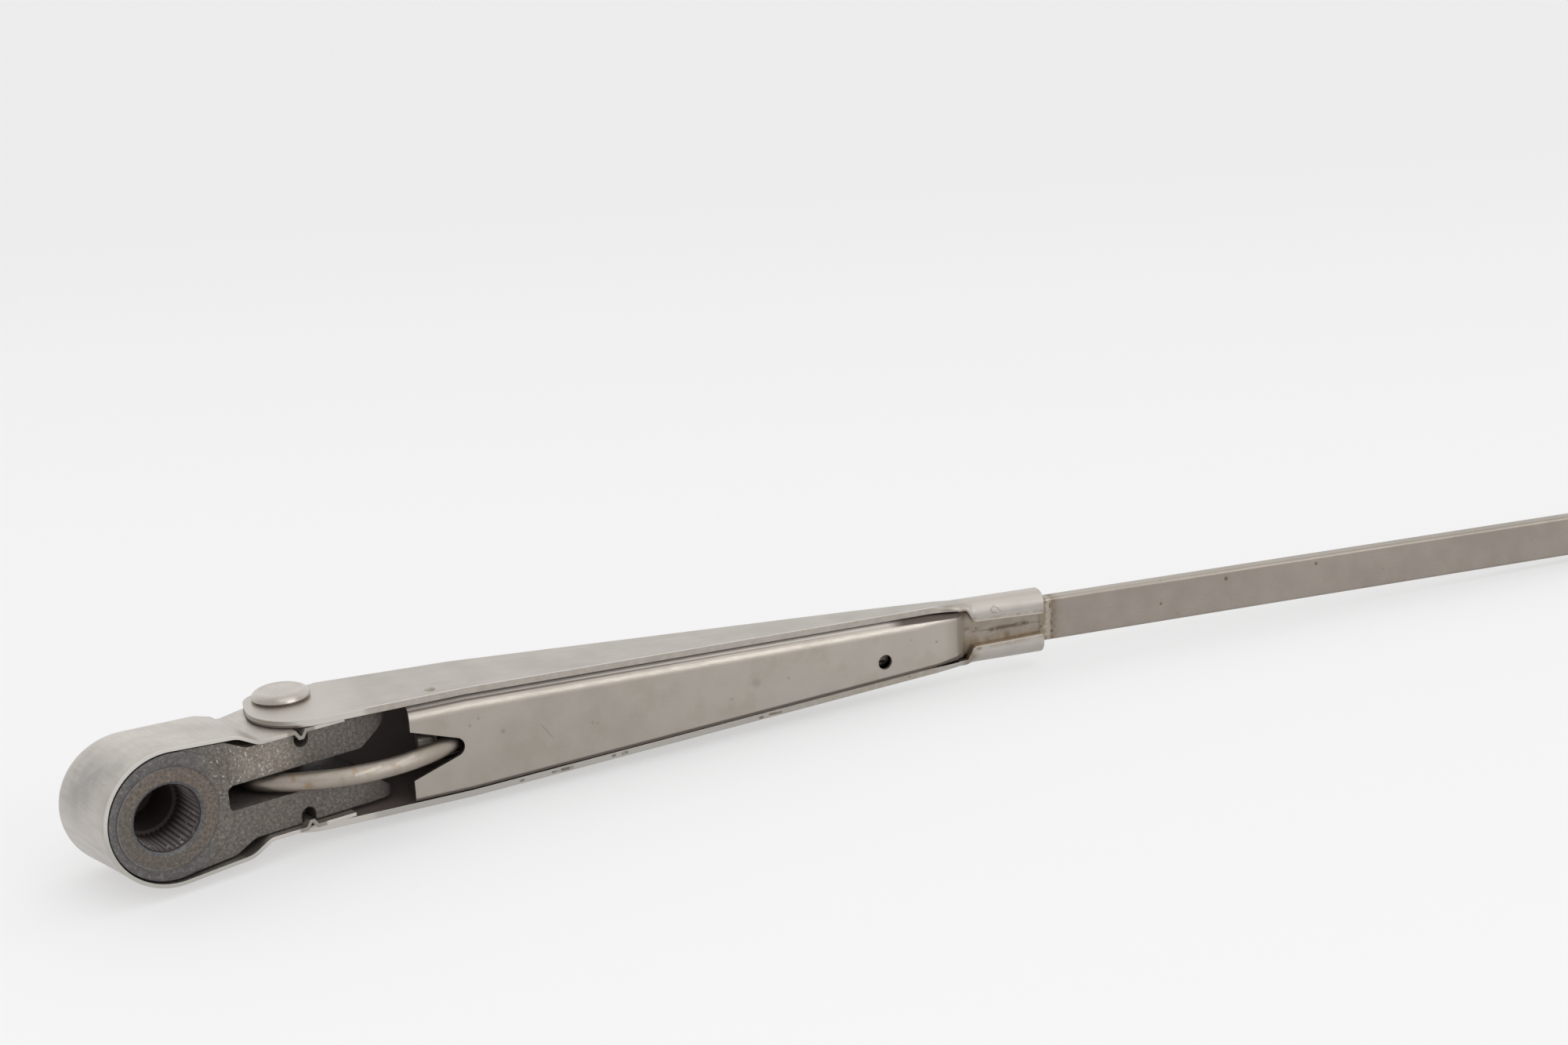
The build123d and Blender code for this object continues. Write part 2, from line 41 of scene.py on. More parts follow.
# Sizes shared with the solids, in millimetres and degrees
HINGE = (28.6, 14.0)
HINGE_DROP = 5.8
ARM_ANGLE = -19.4
EAR_HALF = 10.35
CRIMP_HALF = 6.82
PARALLEL_END = 31.0
TAPER_END = 129.5
SHEET = 1.2
FLANGE_AT_HINGE = -20.3
FLANGE_SLOPE = 0.14437
FLANGE_END = 127.1
WEB_FLAT = 4.2
WEB_RISE = 2.6
WEB_FLAT_START = 112.0
DISH_START = 132.5
TONGUE_START = 134.7
FLAP_START = 136.7
LIP_START = 2.6
LIP_END = 2.15
CRIMP_END = 151.8
PEEP = (116.0, -1.8)
PEEP_RADIUS = 1.45
PIN_HOLE = (25.2, -13.8)
BAR_HALF = 4.5
BORE_RADIUS = 5.9
BORE_LENGTH = 9.9
BORE_CHAMFER = 0.6
PAD_RADIUS = 9.0
RING_RADIUS = 11.6
SLOT_HALF = 2.25
SLOT_START = 11.0
RIM_FRONT = -0.1
RIM_SLANT = 0.0524
RIM_TURN = 0.0262

# Toothed wall of the bore
TOOTH_COUNT = 40
TOOTH_HEIGHT = 0.42
TOOTH_GAP = 0.03
TOOTH_LEAD_IN = 0.5
TOOTH_LEAST = 0.35

# The table leans a little, so that the head and the far end of the bar both rest on it
HEAD_REST = (4.0, -13.9)
BAR_REST = (358.0, -4.5)
TABLE_REACH = 6.0

# Radii of rounded edges, in metres
EDGE_ROUND = 0.00012
FOLD_ROUND = 0.0014
BLUNT_EDGE = 0.0003
FINE_EDGE = 0.00005
COIL_EDGE = 0.00003

# Satin sheets: roughness of smooth and rough grain, relief in millimetres with its strength
SATIN_SHEEN = (0.34, 0.46)
INNER_SHEEN = (0.30, 0.42)
SATIN_RELIEF = (0.02, 0.25)
ARM_GRAIN = (0.06, 3.5, 3.5)

# What the painted shade adds to the roughness, and what it leaves of the metal
SHADE_ROUGHNESS = 0.3
SHADE_METAL = 0.2

# Colours of dirt and wear, and of painted shade in gaps and recesses
RUST = rgb(0.115, 0.052, 0.022)
STAIN = rgb(0.19, 0.135, 0.082)
# Painted shade for the narrow gaps between parts
GAP_SHADE = rgb(0.072, 0.052, 0.042)
# Painted shade for recesses, inner faces and hidden parts
RECESS_SHADE = rgb(0.155, 0.123, 0.112)
NICK = rgb(0.12, 0.095, 0.07)

# Colours of the head's cover
COVER_LIGHT = rgb(0.545, 0.51, 0.473)
COVER_DARK = rgb(0.455, 0.422, 0.39)
# Painted reflected light on the cover's lower side
COVER_LIT_BELOW = rgb(0.60, 0.562, 0.535)
COVER_STREAK = rgb(0.31, 0.285, 0.26)
# Painted dark reflection on the cover
COVER_DARK_REFLECTION = rgb(0.30, 0.285, 0.28)
COVER_SCRATCH = rgb(0.24, 0.22, 0.2)
COVER_SPECK = rgb(0.17, 0.15, 0.13)
RIM_SHADE = rgb(0.33, 0.31, 0.285)
# Painted highlight along the rim, above and below
RIM_HIGHLIGHT_ABOVE = rgb(0.60, 0.575, 0.54)
RIM_HIGHLIGHT_BELOW = rgb(0.42, 0.425, 0.38)
STAKE_SHADE = rgb(0.27, 0.245, 0.22)

# Colours of the channel
CHANNEL_LIGHT = rgb(0.455, 0.426, 0.392)
CHANNEL_DARK = rgb(0.39, 0.363, 0.333)
FLAP_BELOW = rgb(0.58, 0.54, 0.49)
# Painted highlight on the upper flap's bend
FLAP_BEND_HIGHLIGHT = rgb(0.60, 0.56, 0.51)
EAR_FACE = rgb(0.53, 0.498, 0.46)
EAR_EDGE = rgb(0.60, 0.57, 0.53)
# Painted highlight along the upper flange's arris
ARRIS_HIGHLIGHT = rgb(0.74, 0.71, 0.67)
UPPER_CUT = rgb(0.42, 0.385, 0.345)
UPPER_CUT_TAN = rgb(0.37, 0.335, 0.295)
LOWER_CUT = rgb(0.44, 0.42, 0.392)
LOWER_CUT_TAN = rgb(0.36, 0.322, 0.275)
LIP_EDGE = rgb(0.56, 0.49, 0.39)
SCRIBBLE = rgb(0.22, 0.19, 0.16)
# Painted light on the pin hole's wall
HOLE_WALL_LIGHT = rgb(0.72, 0.67, 0.60)

# Colours of the inner cover
INNER_LIGHT = rgb(0.396, 0.364, 0.324)
INNER_DARK = rgb(0.35, 0.321, 0.284)
INNER_FAR = rgb(0.46, 0.428, 0.382)
INNER_BLOOM = rgb(0.33, 0.285, 0.235)
INNER_SPOT = rgb(0.16, 0.13, 0.105)
INNER_SCRATCH = rgb(0.2, 0.17, 0.14)
TONGUE_FILM = rgb(0.29, 0.24, 0.187)
TONGUE_LINE = rgb(0.105, 0.075, 0.052)
DISH_SHADE = rgb(0.19, 0.155, 0.122)
DISH_STEP = rgb(0.25, 0.212, 0.172)
# Painted light on the inner cover's upper bend
INNER_BEND_LIGHT = rgb(0.74, 0.705, 0.655)

# Colours of the bar
BAR_LIGHT = rgb(0.34, 0.304, 0.267)
BAR_DARK = rgb(0.296, 0.262, 0.228)
# Painted light on the bar's top face
BAR_TOP_LIGHT = rgb(0.43, 0.392, 0.345)
TIDE_MARK = rgb(0.19, 0.145, 0.10)
TIDE_FILM = rgb(0.31, 0.26, 0.20)
PALE_CRUST = rgb(0.42, 0.38, 0.32)
CRUST_BORDER = rgb(0.15, 0.10, 0.06)

# Colours of the link, the rivet and the hidden steel
LINK_LIGHT = rgb(0.415, 0.372, 0.328)
LINK_DARK = rgb(0.335, 0.296, 0.254)
LINK_FILM = rgb(0.29, 0.225, 0.16)
# Painted shade on the link's underside
LINK_UNDER_SHADE = rgb(0.2, 0.165, 0.125)
LINK_RUST = rgb(0.3, 0.19, 0.09)
# Rubbed streaks, painted as highlights
LINK_RUB_HIGHLIGHT = rgb(0.66, 0.62, 0.56)
RIVET_LIGHT = rgb(0.54, 0.502, 0.462)
RIVET_DARK = rgb(0.46, 0.425, 0.388)
RIVET_RING = rgb(0.40, 0.365, 0.33)
OILY_LIGHT = rgb(0.13, 0.112, 0.095)
OILY_DARK = rgb(0.08, 0.069, 0.06)

# Colours of the casting, most of them as a dark and a light grain
CAST_GREY = (rgb(0.088, 0.077, 0.07), rgb(0.18, 0.16, 0.14))
CAST_FILM = (rgb(0.092, 0.073, 0.059), rgb(0.172, 0.14, 0.114))
CAST_UPPER = (rgb(0.19, 0.165, 0.137), rgb(0.32, 0.285, 0.238))
CAST_RING = (rgb(0.085, 0.082, 0.083), rgb(0.125, 0.12, 0.12))
CAST_CHAMFER = (rgb(0.09, 0.09, 0.095), rgb(0.15, 0.153, 0.163))
PAD_SHADE = rgb(0.075, 0.068, 0.063)
PAD_EDGE_LEFT = rgb(0.17, 0.172, 0.178)
PAD_EDGE_RIGHT = rgb(0.07, 0.06, 0.052)
CAST_CHIP = rgb(0.21, 0.212, 0.218)
# Painted glints on bright grains
CAST_GLINT = rgb(0.50, 0.475, 0.43)
# Painted shade in the slot, at the fork's far ends and deep in the bore
CAST_SHADE = rgb(0.07, 0.057, 0.053)

# Colours of the bore's teeth
TOOTH_ROOT = rgb(0.235, 0.2, 0.198)
TOOTH_CREST = rgb(0.60, 0.555, 0.55)
TOOTH_GLINT = rgb(0.9, 0.9, 0.9)
# Painted shade deep in the bore
BORE_DEPTH_SHADE = rgb(0.1, 0.083, 0.078)

# Colours of the table and the sky
PAPER_NEAR = rgb(0.905, 0.905, 0.91)
PAPER_FAR = rgb(0.82, 0.82, 0.825)
GLOW_NEAR = rgb(0.93, 0.93, 0.932)
GLOW_FAR = rgb(0.845, 0.845, 0.848)
SKY_COLOUR = rgb(1.0, 0.997, 0.99)

# Painted dark reflections on the head's cover: place, reach, strength
COVER_DARK_REFLECTIONS = (
    ((-9.3, 9.5, 8.4), 7.5, 0.85),
    ((-11.2, 14.0, 4.5), 8.0, 0.7),
    ((-6.8, 5.0, 10.4), 5.0, 0.6),
    ((-7.5, 16.0, 9.5), 6.0, 0.45),
)

# Scratches on the head's cover: start, end, width, strength
COVER_SCRATCHES = (
    ((-12.6, 14.4, -0.3), (-12.6, 5.3, 0.5), 0.3, 0.5),
    ((-12.6, 12.0, -1.4), (-12.5, 3.5, -1.0), 0.25, 0.35),
    ((-12.6, 8.0, -0.6), (-12.6, 2.0, -0.2), 0.25, 0.3),
)
COVER_SPECK_PLACE = (-4.0, 3.8, 11.9)

# Brown stains at the crimp's folds: place, reach, strength
CRIMP_STAINS = (
    ((135.4, -1.6, -4.4), 2.6, 0.9),
    ((134.6, -2.0, -5.9), 1.6, 0.6),
    ((136.2, -2.2, 2.9), 1.3, 0.7),
    ((137.3, -2.2, -2.7), 1.2, 0.7),
    ((134.3, -2.0, 5.6), 1.6, 0.8),
    ((131.0, -1.9, 6.2), 2.5, 0.35),
)

# Scribble on the upper flap: its corners along and across the arm
FLAP_SCRIBBLE = (
    (141.3, 3.85), (140.4, 4.05), (140.1, 4.7), (140.8, 5.2), (141.6, 4.75), (142.2, 4.0),
)

# Nicks in the lower flange's edge: start, end, width
FLANGE_NICKS = (
    ((46.2, -9.25), (47.4, -9.2), 0.3),
    ((48.1, -9.15), (50.1, -9.15), 0.55),
    ((58.2, -8.75), (58.6, -8.7), 0.4),
    ((60.2, -8.75), (61.0, -8.6), 0.5),
    ((40.0, -9.5), (40.6, -9.45), 0.35),
    ((88.7, -7.85), (89.3, -7.8), 0.4),
    ((90.8, -7.6), (93.3, -7.6), 0.35),
    ((121.6, -6.35), (122.0, -6.3), 0.4),
)

# Dark spots on the inner cover: place, reach, strength
INNER_SPOTS = (
    ((32.9, 4.5), 0.5, 0.35),
    ((31.2, 3.5), 0.5, 0.4),
    ((37.3, 1.1), 0.7, 0.4),
    ((54.4, -1.0), 0.5, 0.35),
    ((55.4, -1.3), 0.4, 0.35),
    ((88.0, -0.2), 1.6, 0.3),
    ((82.6, -2.4), 0.45, 0.4),
    ((94.8, -0.7), 0.5, 0.4),
    ((127.7, 0.1), 0.35, 0.8),
    ((122.0, 1.6), 0.3, 0.5),
)
INNER_SCRATCH_ENDS = ((44.5, 0.8), (46.5, -2.1))

# Dark lines on the tongue: start, end, width, strength
TONGUE_LINES = (
    ((136.6, 0.2), (141.0, 0.05), 0.35, 0.45),
    ((140.5, 0.05), (148.6, 0.3), 0.75, 0.95),
    ((148.0, 0.25), (151.3, 0.1), 0.35, 0.5),
    ((135.0, 0.9), (135.4, 1.0), 0.6, 0.7),
    ((137.3, 0.8), (137.6, 0.7), 0.45, 0.7),
)

# Brown stains on the tongue: place, reach
TONGUE_STAINS = (
    ((134.6, 4.2), 1.6),
    ((135.2, -4.0), 3.0),
    ((136.2, -2.4), 2.6),
    ((140.0, -1.8), 1.5),
    ((144.0, -1.6), 1.3),
)

# Rust spots on the bar and on the link: place, reach
BAR_RUST_SPOTS = (((179.5, -0.5), 0.5), ((194.8, 2.7), 0.75), ((216.5, 2.9), 0.6))
LINK_RUST_SPOTS = (
    ((22.4, 1.3), 1.1), ((24.2, -0.2), 1.0), ((31.5, 1.3), 1.0), ((38.0, 0.9), 0.8),
)

# Rubbed streaks on the link, painted as highlights: start, end
LINK_RUB_HIGHLIGHTS = (((31.5, 0.6), (36.0, 1.1)), ((39.0, 0.9), (42.5, 1.2)))

# Sky: its bright direction, the limits along it and the strengths there
SKY_TOWARD = (0.60, 0.75, 0.28)
SKY_LIMITS = (-0.2, 0.9)
SKY_STRENGTHS = (0.72, 1.1)

# Camera at the photo's angle
SENSOR_WIDTH = 36.0
LENS = 50.603
CLIP = (0.01, 100.0)
CAMERA_PLACE = (
    (0.776018, 0.202040, -0.597475, -0.129780),
    (-0.629146, 0.181283, -0.755852, -0.332744),
    (-0.044401, 0.962453, 0.267791, 0.141239),
    (0.0, 0.0, 0.0, 1.0),
)


class Finish:
    """Node tree of one finish: add() makes a node, sets or links its sockets and gives an output."""

    def __init__(self, name):
        self.material = bpy.data.materials.new(name)
        self.material.use_nodes = True
        self.tree = self.material.node_tree
        self.tree.nodes.clear()

    def add(self, kind, sockets=None, out=0, **settings):
        node = self.tree.nodes.new("ShaderNode" + kind)
        for key, value in settings.items():
            setattr(node, key, value)
        for key, value in (sockets or {}).items():
            target = node.inputs[key]
            if isinstance(value, bpy.types.NodeSocket):
                self.tree.links.new(value, target)
            else:
                target.default_value = value
        return node.outputs[out] if node.outputs else None

    def math(self, operation, a, b=0.0, c=0.0, clamp=False):
        return self.add("Math", {0: a, 1: b, 2: c}, operation=operation, use_clamp=clamp)

    def vector(self, operation, a, b, out=0):
        return self.add("VectorMath", {0: a, 1: b}, out=out, operation=operation)

    def times(self, *values):
        """Product of several values."""
        product = values[0]
        for value in values[1:]:
            product = self.math("MULTIPLY", product, value)
        return product

    def most(self, *values):
        """Largest of several values."""
        largest = values[0]
        for value in values[1:]:
            largest = self.math("MAXIMUM", largest, value)
        return largest

    def ramp(self, value, low, high, to_low=0.0, to_high=1.0, smooth=True):
        """Value stretched from low..high to to_low..to_high, with a soft or straight course."""
        limits = {0: value, 1: low, 2: high, 3: to_low, 4: to_high}
        return self.add("MapRange", limits, interpolation_type="SMOOTHSTEP" if smooth else "LINEAR")

    def band(self, value, low, high, soft):
        """1 between two limits, fading to 0 over a soft border outside each."""
        rise = self.ramp(value, low - soft, low)
        return self.times(rise, self.ramp(value, high, high + soft, 1.0, 0.0))

    def between(self, mask, without, within):
        """Value that goes from without to within as a mask goes from 0 to 1."""
        return self.ramp(mask, 0.0, 1.0, without, within)

    def mix(self, factor, a, b):
        return self.add("Mix", {0: factor, 6: a, 7: b}, out=2, data_type="RGBA")

    def paint(self, colour, tone, *shares):
        """Colour covered with a tone, by the product of the shares."""
        return self.mix(self.times(*shares), colour, tone)

    def noise(self, vector, scale, detail=4.0, rough=0.6):
        sockets = {"Vector": vector, "Scale": scale, "Detail": detail, "Roughness": rough}
        return self.add("TexNoise", sockets)

    def head_mm(self):
        """Object coordinates in millimetres: x along the head, y into the bore, z up."""
        return self.stretched(self.add("TexCoord", out=3), (MM_PER_M,) * 3)

    def arm_mm(self):
        """Object coordinates in millimetres, turned into the arm: x along the bar from the hinge."""
        turn = math.radians(-ARM_ANGLE)
        c, s = math.cos(turn), math.sin(turn)
        shift = (s * HINGE[1] - c * HINGE[0], -s * HINGE[0] - c * HINGE[1] - HINGE_DROP, 0.0)
        place = {0: self.add("TexCoord", out=3), 1: shift, 2: (0.0, 0.0, turn), 3: (MM_PER_M,) * 3}
        return self.add("Mapping", place, vector_type="POINT")

    def facing(self):
        """The three parts of the direction that the surface faces."""
        return self.axes(self.add("TexCoord", out=1))

    def axes(self, vector):
        """The three parts of a vector."""
        return tuple(self.add("SeparateXYZ", {0: vector}).node.outputs)

    def stretched(self, vector, scale):
        return self.vector("MULTIPLY", vector, scale)

    def face_on(self, vector):
        """Position with its depth left out, for marks on a front face."""
        return self.stretched(vector, (1.0, 0.0, 1.0))

    def from_above(self, vector):
        """Position with its height left out, for marks round an upright axis."""
        return self.stretched(vector, (1.0, 1.0, 0.0))

    def from_axis(self, x, z):
        """Distance from the bore's axis."""
        return self.math("SQRT", self.math("ADD", self.times(x, x), self.times(z, z)))

    def spot(self, where, point, reach, core=0.0):
        """1 at a point, fading to 0 at reach from it."""
        return self.ramp(self.vector("DISTANCE", where, point, out=1), core, reach, 1.0, 0.0)

    def stroke(self, where, start, end, width):
        """1 on the line from start to end, fading to 0 at a width from its nearest point."""
        run = np.subtract(end, start)
        away = self.vector("SUBTRACT", where, start)
        share = self.vector("DOT_PRODUCT", away, tuple(run / run.dot(run)), out=1)
        share = self.math("ADD", share, clamp=True)
        foot = self.add("VectorMath", {0: tuple(run), "Scale": share}, operation="SCALE")
        return self.spot(away, foot, width)

    def sheen(self, grain, smooth, rough):
        """Roughness that follows the grain."""
        return self.ramp(grain, 0.2, 0.8, smooth, rough)

    def finish(self, colour, metallic, roughness, height, relief, spec=0.5, edge=EDGE_ROUND):
        """Close the tree: a principled surface with rounded edges (a radius in metres) and a relief
        (its depth in millimetres and its strength)."""
        depth, strength = relief
        bumps = {"Strength": strength, "Distance": depth / MM_PER_M, "Height": height}
        bumps["Normal"] = self.add("Bevel", {"Radius": edge}, samples=4)
        surface = {
            "Base Color": colour,
            "Metallic": metallic,
            "Roughness": roughness,
            "Specular IOR Level": spec,
            "Normal": self.add("Bump", bumps),
        }
        self.add("OutputMaterial", {0: self.add("BsdfPrincipled", surface)})
        return self.material


def satin(t, where, light, dark, grain_along):
    """Satin sheet: fine grain along one direction over broad cloudy patches; colour and grain."""
    grain = t.noise(t.stretched(where, grain_along), 1.0, 3.0)
    cloud = t.noise(where, 0.16, 5.0)
    blotch = t.noise(where, 0.04, 3.0, 0.5)
    tone = t.math("ADD", t.times(cloud, 0.6), t.times(blotch, 0.4))
    colour = t.mix(t.ramp(tone, 0.33, 0.68), dark, light)
    return t.paint(colour, dark, t.ramp(grain, 0.4, 0.75), 0.16), grain


def specks(t, where, density, low, high):
    """Small scattered dots: where a fine noise rises above a limit inside patches of a coarse one."""
    fine = t.noise(where, density, 2.0, 0.5)
    patch = t.noise(where, density * 0.12, 2.0, 0.5)
    return t.times(t.ramp(fine, low, high), t.ramp(patch, 0.45, 0.6))


def on_front(place):
    """Point on a front face from its place along and across, with no depth."""
    return (place[0], 0.0, place[1])


def wall_inset(t, x, z, inset):
    """How far a point lies inside the tapering channel's half width, less an inset."""
    widths = (EAR_HALF - inset, CRIMP_HALF - inset)
    half = t.ramp(x, PARALLEL_END, TAPER_END, *widths, smooth=False)
    return t.math("SUBTRACT", half, t.math("ABSOLUTE", z))


def flange_gap(t, x, y):
    """Depth behind the leaning front edges of the channel's flanges."""
    return t.math("SUBTRACT", y, t.math("MULTIPLY_ADD", x, FLANGE_SLOPE, FLANGE_AT_HINGE))


def lip_gap(t, x, z):
    """Distance from the edges of the folded flaps: above 0 on the flaps, below 0 between them."""
    lip = t.ramp(x, FLAP_START, CRIMP_END, LIP_START, LIP_END, smooth=False)
    return t.math("SUBTRACT", t.math("ABSOLUTE", z), lip)


def channel_inside(t, x, y, z):
    """1 on the channel's inner faces: within the side walls, behind the flanges, before the web."""
    depths = (WEB_FLAT - WEB_RISE - 0.5, WEB_FLAT - 0.5)
    web = t.ramp(x, 0.0, WEB_FLAT_START, *depths, smooth=False)
    within = t.ramp(wall_inset(t, x, z, 0.7), 0.0, 0.2)
    behind = t.ramp(flange_gap(t, x, y), 0.25, 0.75)
    before = t.ramp(t.math("SUBTRACT", web, y), 0.0, 0.2)
    return t.times(within, behind, before, t.ramp(x, TAPER_END, TAPER_END + 2.0, 1.0, 0.0))


def cover_steel():
    """Cap of the head: satin sheet with drawing streaks, painted dark reflections, painted reflected
    light below, scratches, a rim with painted highlight and shade, and painted shade inside.
    """
    t = Finish("cover_steel")
    where = t.head_mm()
    x, y, z = t.axes(where)
    colour, grain = satin(t, where, COVER_LIGHT, COVER_DARK, (2.2, 0.05, 2.2))
    # Painted reflected light, paler towards the lower side
    colour = t.paint(colour, COVER_LIT_BELOW, t.ramp(z, 2.0, -5.0), 0.55)
    streak = t.ramp(t.noise(t.stretched(where, (0.9, 0.05, 0.9)), 1.0, 3.0), 0.5, 0.7)
    colour = t.paint(colour, COVER_STREAK, streak, t.ramp(x, -4.0, -10.0), 0.3)
    ragged = t.ramp(t.noise(where, 0.3), 0.3, 0.62, 0.45, 1.0)
    # Painted dark reflections in soft ragged patches
    for place, reach, strength in COVER_DARK_REFLECTIONS:
        colour = t.paint(colour, COVER_DARK_REFLECTION, t.spot(where, place, reach), ragged, strength)
    for start, end, width, strength in COVER_SCRATCHES:
        colour = t.paint(colour, COVER_SCRATCH, t.stroke(where, start, end, width), strength)
    colour = t.paint(colour, COVER_SPECK, t.spot(where, COVER_SPECK_PLACE, 0.5), 0.8)

    # Rim, which slants and turns a little, with painted shade just inside it and a painted highlight
    # along it, and the staked tips
    rim = t.math("MULTIPLY_ADD", x, RIM_TURN, -RIM_FRONT)
    rim = t.math("ADD", rim, t.math("MULTIPLY_ADD", z, -RIM_SLANT, y))
    cap = t.ramp(x, 18.0, 13.0)
    colour = t.paint(colour, RIM_SHADE, t.band(rim, 0.5, 0.7, 0.25), cap, 0.3)
    rim_highlight = t.mix(t.ramp(z, 3.0, -3.0), RIM_HIGHLIGHT_ABOVE, RIM_HIGHLIGHT_BELOW)
    # Painted highlight along the rim
    colour = t.paint(colour, rim_highlight, t.ramp(rim, 0.3, 0.1), cap, 0.75)
    stake = t.times(t.band(x, 22.8, 27.4, 0.5), t.ramp(rim, 0.5, 0.15))
    colour = t.paint(colour, STAKE_SHADE, stake, 0.9)

    # Painted shade on the inner faces
    inside = t.times(t.ramp(t.facing()[1], -0.3, -0.6), t.ramp(rim, 3.0, 5.0))
    colour = t.paint(colour, RECESS_SHADE, inside)
    dull = t.times(inside, SHADE_ROUGHNESS)
    roughness = t.math("ADD", t.sheen(grain, *SATIN_SHEEN), dull, clamp=True)
    return t.finish(colour, t.between(inside, 1.0, SHADE_METAL), roughness, grain, SATIN_RELIEF)


def channel_steel():
    """Folded channel: satin sheet with grain along the arm, painted shade inside, browned at the
    folds, painted highlights on the upper flap's bend and the arris.
    """
    t = Finish("channel_steel")
    where = t.arm_mm()
    x, y, z = t.axes(where)
    flat = t.face_on(where)
    front = t.ramp(y, 1.0, -0.5)
    tan = t.noise(where, 0.8)
    colour, grain = satin(t, where, CHANNEL_LIGHT, CHANNEL_DARK, ARM_GRAIN)
    colour = t.paint(colour, FLAP_BELOW, t.ramp(x, 130.0, 136.0), t.ramp(z, 1.0, -1.0), 0.18)
    # Painted highlight along the upper flap's bend
    colour = t.paint(colour, FLAP_BEND_HIGHLIGHT, t.ramp(x, 132.0, 137.0), t.ramp(z, 4.9, 6.0), 0.5)

    # Ears, lighter towards the hinge, with lighter edge faces
    outer = t.ramp(wall_inset(t, x, z, SHEET), 0.1, -0.1)
    sideways = t.ramp(t.math("ABSOLUTE", t.facing()[2]), 0.6, 0.3)
    colour = t.paint(colour, EAR_FACE, t.ramp(x, 16.0, 6.0), outer, 0.7)
    colour = t.paint(colour, EAR_EDGE, sideways, outer, t.ramp(x, 15.0, 12.0), 0.8)

    # Cut edges of the flanges, with a painted highlight along the upper one's arris
    edge = flange_gap(t, x, y)
    along = t.band(x, 14.0, FLANGE_END, 2.0)
    arris_highlight = t.times(t.band(edge, 0.1, 0.3, 0.1), along, t.ramp(z, 2.0, 4.0))
    colour = t.paint(colour, ARRIS_HIGHLIGHT, arris_highlight, 0.8)
    cut = t.times(t.ramp(edge, 0.16, 0.07), along)
    upper = t.mix(t.ramp(tan, 0.35, 0.65), UPPER_CUT, UPPER_CUT_TAN)
    lower_tan = t.times(t.ramp(x, 60.0, 120.0), t.ramp(tan, 0.3, 0.6, 0.4, 1.0))
    lower = t.mix(lower_tan, LOWER_CUT, LOWER_CUT_TAN)
    colour = t.paint(colour, t.mix(t.ramp(z, -3.0, 3.0), lower, upper), cut, 0.9)

    # Stains at the folds and along the lips of the flaps
    ragged = t.ramp(tan, 0.3, 0.65, 0.35, 1.0)
    for place, reach, strength in CRIMP_STAINS:
        colour = t.paint(colour, STAIN, t.spot(where, place, reach), ragged, strength)
    lip = lip_gap(t, x, z)
    flap = t.times(t.band(x, FLAP_START, CRIMP_END, 0.4), front)
    film = t.times(t.band(lip, 0.4, 0.75, 0.3), t.ramp(tan, 0.35, 0.7))
    colour = t.paint(colour, STAIN, film, flap, 0.4)
    colour = t.paint(colour, LIP_EDGE, t.band(lip, -0.1, 0.22, 0.12), flap, 0.6)

    # Scribble on the upper flap, nicks in the lower flange
    for start, end in zip(FLAP_SCRIBBLE, FLAP_SCRIBBLE[1:]):
        line = t.stroke(flat, on_front(start), on_front(end), 0.22)
        colour = t.paint(colour, SCRIBBLE, line, front, 0.6)
    crumbled = t.ramp(tan, 0.4, 0.5, 0.5, 1.0)
    for start, end, width in FLANGE_NICKS:
        nick = t.stroke(flat, on_front(start), on_front(end), width)
        colour = t.paint(colour, NICK, nick, crumbled, cut, 0.9)

    # Painted shade on the inner faces, darker towards the crimp, and painted light on the wall of the
    # pin hole
    inside = channel_inside(t, x, y, z)
    colour = t.paint(colour, t.mix(t.ramp(x, 110.0, 118.0), RECESS_SHADE, GAP_SHADE), inside)
    hole = t.spot(t.from_above(where), PIN_HOLE + (0.0,), 1.3, 1.2)
    hole = t.times(hole, t.ramp(z, 9.0, 9.3), t.ramp(z, EAR_HALF - 0.02, EAR_HALF - 0.06))
    # Painted light on the pin hole's wall
    colour = t.paint(colour, HOLE_WALL_LIGHT, hole)

    dull = t.math("ADD", t.times(inside, SHADE_ROUGHNESS), t.times(t.ramp(x, 131.0, 136.0), 0.07))
    roughness = t.math("ADD", t.sheen(grain, *SATIN_SHEEN), dull, clamp=True)
    metallic = t.times(t.between(inside, 1.0, SHADE_METAL), t.between(hole, 1.0, 0.3))
    return t.finish(colour, metallic, roughness, grain, SATIN_RELIEF)


